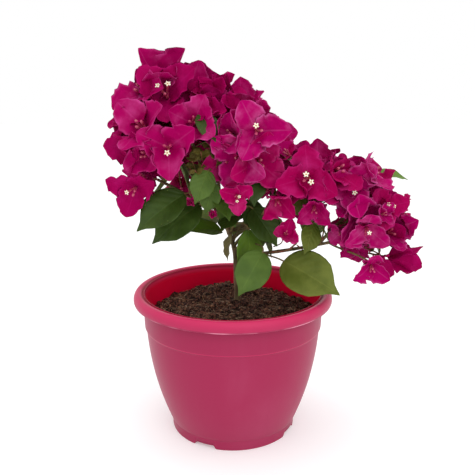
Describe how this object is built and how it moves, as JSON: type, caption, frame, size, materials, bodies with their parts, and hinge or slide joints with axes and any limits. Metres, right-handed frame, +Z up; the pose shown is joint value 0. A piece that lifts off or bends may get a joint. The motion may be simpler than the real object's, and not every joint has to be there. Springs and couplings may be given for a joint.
{
  "type": "potted bougainvillea bush",
  "caption": "Bougainvillea bush with a thin leaning trunk, arching boughs and masses of magenta bracts, in a round plastic pot with a rolled rim.",
  "frame": {"origin": "middle of the flat underside of the pot", "axes": "+Z up, -Y towards the front, +X towards the longer, lower side of the crown"},
  "size_m": [0.3019, 0.2, 0.3771],
  "materials": {
    "pot_plastic": "satin",
    "soil": "rough",
    "bark": "rough",
    "bract": "matte",
    "leaf": "satin"
  },
  "bodies": {
    "root": {"pot": "pot_plastic", "soil": "soil", "trunk": "bark", "bough_right_low": "bark", "bough_right_mid": "bark", "bough_back_right": "bark", "bough_low_centre": "bark", "bough_left": "bark", "bough_right_up": "bark", "bough_back": "bark", "bough_back_left": "bark", "bough_centre": "bark", "bough_top": "bark", "bough_left_up": "bark", "bough_right_fork": "bark", "shoot_front": "leaf", "shoot_front_low": "leaf", "shoot_right": "leaf", "shoot_left": "leaf", "shoot_centre": "leaf", "shoot_crown": "leaf", "shoot_left_small": "leaf", "shoot_back": "leaf", "shoot_back_right": "leaf", "shoot_right_mid": "leaf", "shoot_far_right": "leaf", "spray_heart": "bract", "spray_left_low": "bract", "spray_left_tip": "bract", "spray_left_upper": "bract", "spray_top_front": "bract", "spray_top": "bract", "spray_centre_top": "bract", "spray_centre_front": "bract", "spray_right_top": "bract", "spray_right_star": "bract", "spray_right_end": "bract", "spray_right_low": "bract", "spray_small_star": "bract", "spray_low_centre": "bract", "spray_middle": "bract", "spray_far_top": "bract", "spray_far_left_star": "bract", "spray_far_left_low": "bract", "spray_far_star": "bract", "spray_far_upper": "bract", "spray_far_right_star": "bract", "spray_far_low_star": "bract", "spray_far_right": "bract", "spray_far_tip": "bract", "spray_hanging": "bract", "spray_back_top": "bract", "spray_back_left": "bract", "spray_back_low": "bract", "spray_back_centre": "bract", "spray_back_right": "bract", "spray_far_back_left": "bract", "spray_far_back": "bract", "spray_far_back_right": "bract"}
  },
  "joints": []
}
